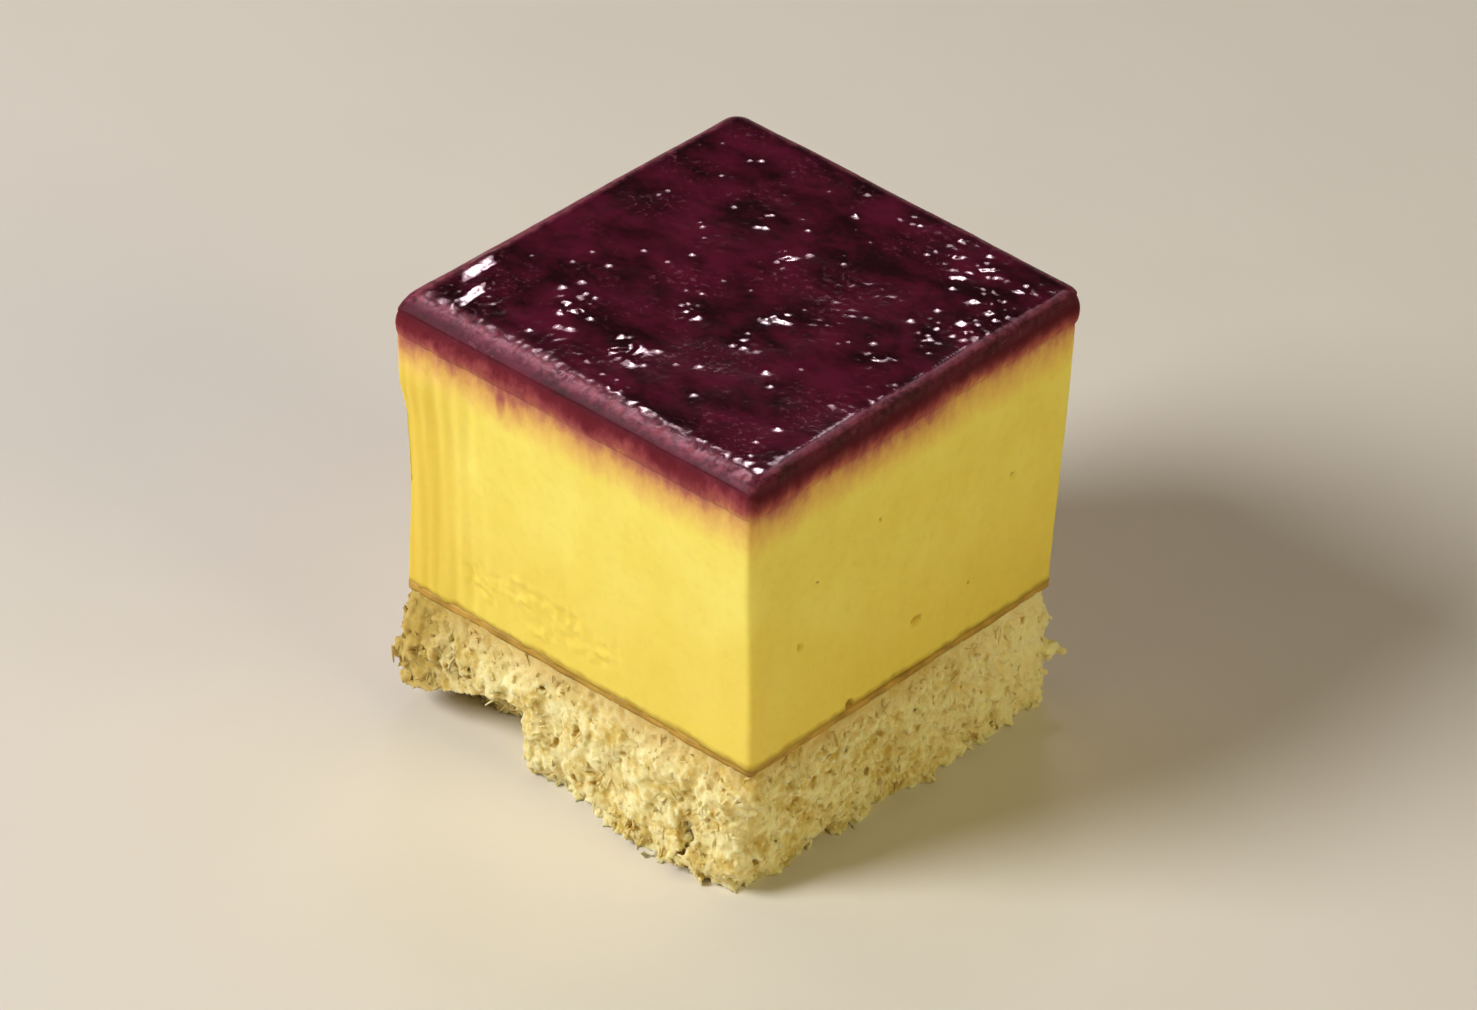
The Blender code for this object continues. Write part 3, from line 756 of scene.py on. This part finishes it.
def jellySlab():
    grid, out = planGrid(jelly["spacing"])
    nx, ny = grid.shape[:2]
    base = cakeCentre + grid * cakeHalf
    flat = skewed(base)
    top = np.full((nx, ny), cake["jellyTop"])
    spot = np.concatenate([flat, np.zeros((nx, ny, 1))], -1).reshape(-1, 3)

    def film(size, seed):
        return grain(spot, size, seed).reshape(nx, ny)

    edges = {
        "left": base[..., 0] - cake["left"], "right": cake["right"] - base[..., 0],
        "front": base[..., 1] - cake["front"], "back": cake["back"] - base[..., 1],
    }
    nearest = np.minimum.reduce(list(edges.values()))
    for side, (width, drop) in jelly["shoulder"].items():
        top -= drop * np.maximum(0.0, 1.0 - edges[side] / width) ** 2
    top += jelly["ripple"] * film(jelly["rippleSize"], 1)
    top += jelly["dimple"] * film(jelly["dimpleSize"], 2)
    crowd = np.clip(2.2 * film(jelly["patchSize"], 4), 0.0, 1.0)  # wrinkles come in patches
    ridges = 1.0 - np.abs(film(jelly["wrinkleSize"], 6)) * 2.0
    top += jelly["wrinkle"] * ridges * crowd * ease(nearest / 0.5)
    folds = film(jelly["puckerSize"], 7) + 0.3 * film(jelly["puckerFine"], 11)
    for x, y, reach, strength in puckers:
        apart = np.hypot(flat[..., 0] - x, flat[..., 1] - y)
        top += jelly["pucker"] * strength * folds * ease(1.0 - apart / reach) * ease(nearest / 0.4)
    for x, y, radius, lift in jellyPips():
        away = ((flat[..., 0] - x) ** 2 + (flat[..., 1] - y) ** 2) / radius ** 2
        top += lift * np.exp(-away)
    for x, y, across, along, slopeX, slopeY in welts:
        dx, dy = flat[..., 0] - x, flat[..., 1] - y
        window = np.exp(-(((dx + 0.2 * dy) / across) ** 2 + (dy / along) ** 2) ** 3)
        top += window * (slopeX * dx + slopeY * dy)
    band = ease(edges["front"] / 0.5) * ease((3.0 - edges["front"]) / 1.5)
    top += jelly["frontBand"] * band * (1.0 - 2.0 * np.abs(film(0.8, 12)))
    band = ease(edges["right"] / 0.3) * ease((1.6 - edges["right"]) / 1.0)
    top += jelly["rightBand"] * band * film(0.9, 13) * np.clip(2.5 * film(4.0, 19), 0.0, 1.0)
    points = [np.concatenate([flat, top[..., None]], -1).reshape(-1, 3)]
    index = np.arange(nx * ny).reshape(nx, ny)
    corners = index[:-1, :-1], index[1:, :-1], index[1:, 1:], index[:-1, 1:]
    faces = [tuple(quad) for quad in np.stack(corners, -1).reshape(-1, 4).tolist()]

    # the rounded edge, then the cut side down to its slumped foot
    loop, ring, way, crest = rim(index), rim(flat), rim(out), rim(top)
    count, edge, rows = len(loop), jelly["edge"], jelly["sideRows"]
    turns = [math.radians(a) for a in jelly["edgeTurns"]]
    steps = [(edge * math.sin(a), edge * (1 - math.cos(a)), 0.0) for a in turns]
    steps += [(edge, edge, (i + 1) / rows) for i in range(rows)]
    follow = cutLift(np.concatenate([ring, np.full((count, 1), cake["jellyFoot"])], -1))
    for outward, down, run in steps:
        level = crest - down
        level = level + (cake["jellyFoot"] - 0.05 - level) * run
        fade = 4.0 * run * (1.0 - run)
        reach = outward - edge + jelly["slump"] * fade
        wobble = np.concatenate([ring, level[:, None]], -1)
        reach = reach + jelly["sideWave"] * grain(wobble, jelly["sideWaveSize"], 8) * fade
        reach = reach + jelly["sideFine"] * grain(wobble, jelly["sideFineSize"], 9) * fade
        reach = reach + follow * ease(run / 0.6) + 0.02 * run
        points.append(np.concatenate([ring + way * np.reshape(reach, (-1, 1)), level[:, None]], -1))
    start = nx * ny
    faces += [(loop[i], start + i, start + (i + 1) % count, loop[(i + 1) % count]) for i in range(count)]
    faces += ringFaces(len(steps), count, start)
    last = start + (len(steps) - 1) * count
    faces.append(tuple(last + i for i in reversed(range(count))))
    return np.concatenate(points), faces


def jellyMaterial():
    # Agar jelly dyed with purple sweet potato, set and cut: a wet mirror on top, duller and redder where cut
    material, tree, shader, place = newMaterial("setPurpleJelly")
    x, y, z = add(tree, split, {0: place}).outputs

    # the band along the cut edges, where the film dried duller, widest along the front, with a painted sheen:
    # paler colour broken by a net of lighter lines
    dull = 0.0
    ragged = add(tree, cloudy, {"Vector": place, "Scale": 1 / (1.5 * mm), "Detail": 3.0})
    for along, edge, turn, width in (
        (y, cake["front"], 1.0, 2.3), (x, cake["right"], -1.0, 1.0),
        (x, cake["left"], 1.0, 1.0), (y, cake["back"], -1.0, 0.9),
    ):
        inward = add(tree, calc, {0: along, 1: turn, 2: -turn * edge * mm}, operation="MULTIPLY_ADD")
        inward = add(tree, calc, {0: ragged, 1: 0.7 * width * mm, 2: inward}, operation="MULTIPLY_ADD")
        start, end = 0.55 * width * mm, 1.35 * width * mm
        near = add(tree, span, {0: inward, 1: start, 2: end, 3: 1.0, 4: 0.0}, **soft)
        dull = add(tree, calc, {0: dull, 1: near}, operation="MAXIMUM")
    net = add(tree, cloudy, {"Vector": place, "Scale": 1 / (0.7 * mm), "Detail": 3.0, "Roughness": 0.7})
    paintedSheen = add(tree, span, {0: net, 1: 0.35, 2: 0.62, 3: 0.15, 4: 1.0})
    paintedSheen = add(tree, calc, {0: dull, 1: paintedSheen}, operation="MULTIPLY")
    # the painted sheen stops short of the very lip, which stays dark
    front, right = cake["front"], cake["right"]
    lipFront = add(tree, span, {0: y, 1: (front - 0.2) * mm, 2: (front + 0.9) * mm, 3: 0.1, 4: 1.0}, **soft)
    lipRight = add(tree, span, {0: x, 1: right * mm, 2: (right - 0.6) * mm, 3: 0.2, 4: 1.0}, **soft)
    lip = add(tree, calc, {0: lipFront, 1: lipRight}, operation="MULTIPLY")
    paintedSheen = add(tree, calc, {0: paintedSheen, 1: lip}, operation="MULTIPLY")

    # pale flecks of painted glint, crowded in patches
    paintedGlints = add(tree, cloudy, {"Vector": place, "Scale": 1 / (0.5 * mm), "Detail": 2.0, "Roughness": 0.6})
    paintedGlints = add(tree, span, {0: paintedGlints, 1: 0.56, 2: 0.72, 3: 0.0, 4: 0.38})
    crowd = add(tree, cloudy, {"Vector": place, "Scale": 1 / (5.0 * mm), "Detail": 1.0})
    crowd = add(tree, span, {0: crowd, 1: 0.48, 2: 0.66})
    paintedGlints = add(tree, calc, {0: paintedGlints, 1: crowd}, operation="MULTIPLY")

    # the cut sides show the stain; high on the right one they are duller, with painted shade darkening them
    byRight = add(tree, span, {0: x, 1: (right - 0.6) * mm, 2: (right - 0.2) * mm})
    foot = cake["jellyFoot"]
    paintedShadeHighRight = add(tree, span, {0: z, 1: (foot + 0.6) * mm, 2: (foot + 1.8) * mm, 3: 0.0, 4: 0.6})
    paintedShadeHighRight = add(tree, calc, {0: byRight, 1: paintedShadeHighRight}, operation="MULTIPLY")
    side = {"Factor": paintedShadeHighRight, 6: jellyStain(tree, place)[1], 7: "#400a1c"}
    side = add(tree, mixed, side, data_type="RGBA")
    cut = add(tree, span, {0: z, 1: 37.75 * mm, 2: 37.0 * mm})
    cut = add(tree, calc, {0: cut, 1: dull}, operation="MULTIPLY")

    turned = {"Vector": place, "Rotation": (0.0, 0.0, math.radians(-41)), "Scale": (0.7, 1.0, 1.0)}
    cloud = {"Scale": 1 / (3.4 * mm), "Detail": 4.0, "Roughness": 0.6, "Distortion": 0.2}
    cloud = add(tree, cloudy, {"Vector": add(tree, "ShaderNodeMapping", turned), **cloud})
    cloud = add(tree, span, {0: cloud, 1: 0.38, 2: 0.64})
    colour = "#25020a"
    for share, code in ((cloud, "#58102b"), (paintedSheen, "#994b5c"), (paintedGlints, "#9a5870"), (cut, side)):
        colour = add(tree, mixed, {"Factor": share, 6: colour, 7: code}, data_type="RGBA")

    # wet on top, duller along the edges, on the cut, on the right side and at the front lip
    rough = add(tree, span, {0: dull, 3: 0.10, 4: 0.34})
    matteLip = add(tree, span, {0: lipFront, 3: 0.22, 4: 0.0})
    for share, more in ((cut, 0.2), (byRight, 0.2), (matteLip, 1.0)):
        rough = add(tree, calc, {0: share, 1: more, 2: rough}, operation="MULTIPLY_ADD")
    film = add(tree, cloudy, {"Vector": place, "Scale": 1 / (0.6 * mm), "Detail": 3.0})
    feed(tree, shader, {
        "Base Color": colour, "Roughness": rough, "IOR": 1.36, "Specular IOR Level": 0.25,
        "Subsurface Weight": 0.2, "Subsurface Radius": (2.0, 0.25, 0.35), "Subsurface Scale": 1.0 * mm,
        "Normal": add(tree, "ShaderNodeBump", {"Height": film, "Strength": 0.3, "Distance": 0.06 * mm}),
    })
    return material


jellyPiece = meshPiece("jellySlab", *jellySlab(), jellyMaterial())


print("dressing the frame")
for piece, node, slot in (
    (spongePiece, "sponge_base", "sponge_crumb"),
    (moussePiece, "sweet_potato_mousse", "mousse_yellow"),
    (jellyPiece, "purple_jelly_top", "jelly_wine"),
):
    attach(piece, "root")
    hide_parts(node)
for piece in (skinPiece, crumbPiece):
    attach(piece, "root")
for piece in (spongePiece, moussePiece, jellyPiece, skinPiece, crumbPiece):
    keepInside(piece)
    print(" ", piece.name, sum(len(face.vertices) - 2 for face in piece.data.polygons), "triangles")


print("studio")
studio = {
    "floor": "#e6e1d9", "floorMottle": "#e0dbd2", "air": (1.0, 0.98, 0.96, 1.0), "world": 0.07,
    "lights": (  # name, place, size, watts, colour
        ("windowFront", (-0.32, -0.50, 0.48), 0.34, 5.6, "#fffdf8"),
        ("fillRight", (0.60, 0.05, 0.30), 0.35, 1.4, "#fff0ac"),
    ),
    "sheens": (  # seen only as gloss: they draw the glints on the jelly and light nothing else
        ("highLeft", (-0.42, 0.00, 0.62), 0.20, 2.9, "#ffcfdf"),
        ("highBack", (-0.05, 0.42, 0.58), 0.20, 0.55, "#ffc2d4"),
        ("glint", (-0.28, 0.32, 0.58), 0.12, 2.8, "#ffe8f0"),
        ("glintHalo", (-0.285, 0.325, 0.59), 0.26, 2.8, "#ffd8e6"),
    ),
    "camera": (0.33101, -0.37056, 0.37389), "target": (0.00016, 0.0002, 0.01888), "roll": 1.65, "lens": 191.4,
}


def studioFloor():
    # plain pale board
    material, tree, shader, place = newMaterial("matteBoard")
    mottle = add(tree, cloudy, {"Vector": place, "Scale": 1 / (18 * mm), "Detail": 2.0})
    colour = {"Factor": mottle, 6: studio["floor"], 7: studio["floorMottle"]}
    feed(tree, shader, {"Base Color": add(tree, mixed, colour, data_type="RGBA"), "Roughness": 0.8})
    mesh = bpy.data.meshes.new("floorBoard")
    mesh.from_pydata([(-2, -2, 0), (2, -2, 0), (2, 2, 0), (-2, 2, 0)], [], [(0, 1, 2, 3)])
    mesh.materials.append(material)
    board = bpy.data.objects.new("floorBoard", mesh)
    bpy.context.scene.collection.objects.link(board)
    return board


def aimed(thing, place, target, roll=0.0):
    turn = (Vector(target) - Vector(place)).to_track_quat("-Z", "Y").to_matrix().to_4x4()
    thing.matrix_world = Matrix.Translation(place) @ turn @ Matrix.Rotation(math.radians(roll), 4, "Z")


studioFloor()

for kind in ("lights", "sheens"):
    for name, place, size, watts, code in studio[kind]:
        lamp = bpy.data.lights.new(name, "AREA")
        lamp.shape, lamp.size, lamp.energy = "DISK", size, watts
        lamp.color = linearColour(code)[:3]
        light = bpy.data.objects.new(name, lamp)
        bpy.context.scene.collection.objects.link(light)
        aimed(light, place, (0, 0, 0.02))
        light.visible_diffuse = kind == "lights"

world = bpy.data.worlds.new("studioAir")
world.use_nodes = True
air = world.node_tree.nodes["Background"]
feed(world.node_tree, air, {"Color": studio["air"], "Strength": studio["world"]})
bpy.context.scene.world = world

lens = bpy.data.cameras.new("photoView")
lens.lens, lens.sensor_width, lens.clip_start = studio["lens"], 36.0, 0.01
camera = bpy.data.objects.new("photoView", lens)
bpy.context.scene.collection.objects.link(camera)
aimed(camera, studio["camera"], studio["target"], studio["roll"])
bpy.context.scene.camera = camera
bpy.context.scene.view_settings.view_transform = "Standard"
bpy.context.scene.view_settings.look = "None"

bpy.context.view_layer.update()
